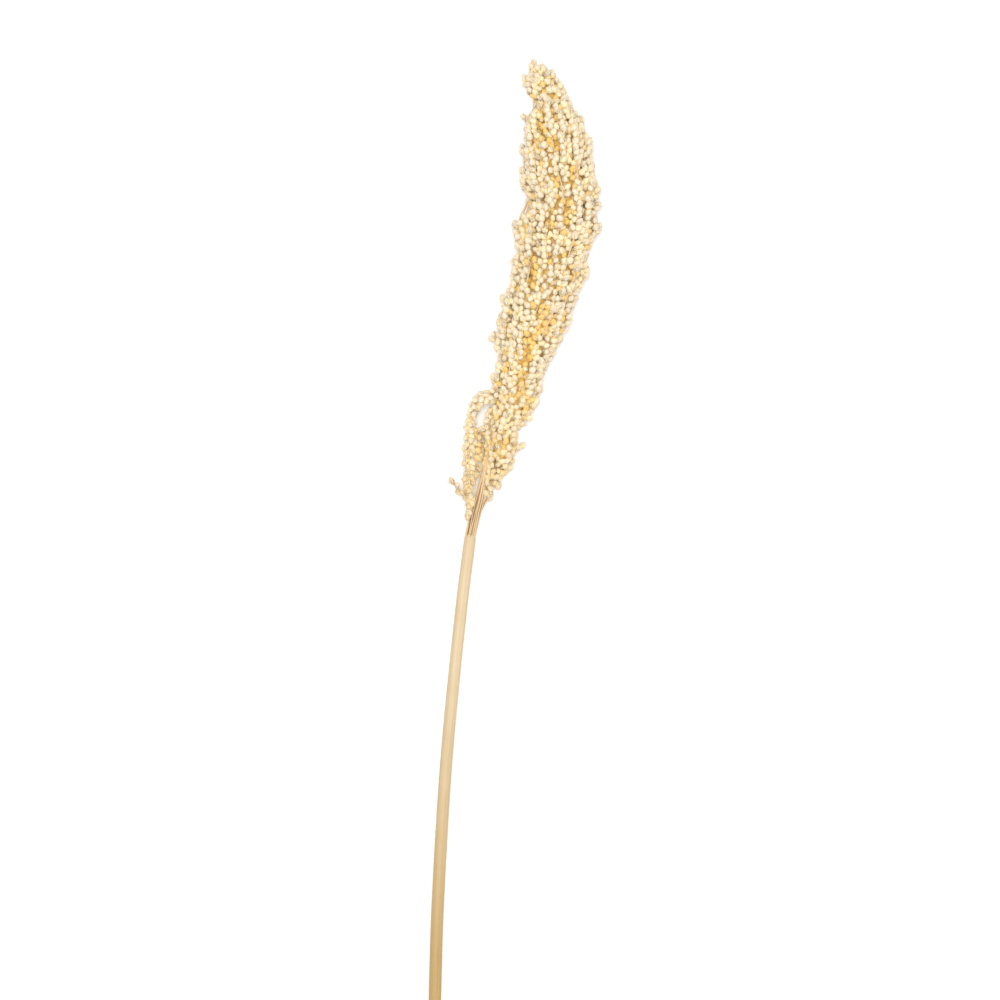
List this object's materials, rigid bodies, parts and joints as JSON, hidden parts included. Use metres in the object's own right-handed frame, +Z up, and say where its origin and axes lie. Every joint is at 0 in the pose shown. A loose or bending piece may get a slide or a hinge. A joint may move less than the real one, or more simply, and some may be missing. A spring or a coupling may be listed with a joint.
{
  "type": "sorghum seed head",
  "caption": "Dried, bleached sorghum head: a long curved spike packed with round cream grains, on a slim straw-coloured cut stalk that lies flat as a decorative stem.",
  "frame": {"origin": "on the surface that the head and the stalk's cut end lie on, under the middle of the part's bounding box", "axes": "+Z up from the surface; +Y along the stalk towards the head's tip; +X to the side that the head's bow leans to"},
  "size_m": [0.1132, 0.6144, 0.0451],
  "materials": {
    "straw": "dry straw, satin, with fine lengthwise fibres",
    "cream_grain": "bleached grain, satin"
  },
  "bodies": {
    "root": {"stalk": "straw", "seed_head": "cream_grain"}
  },
  "joints": []
}
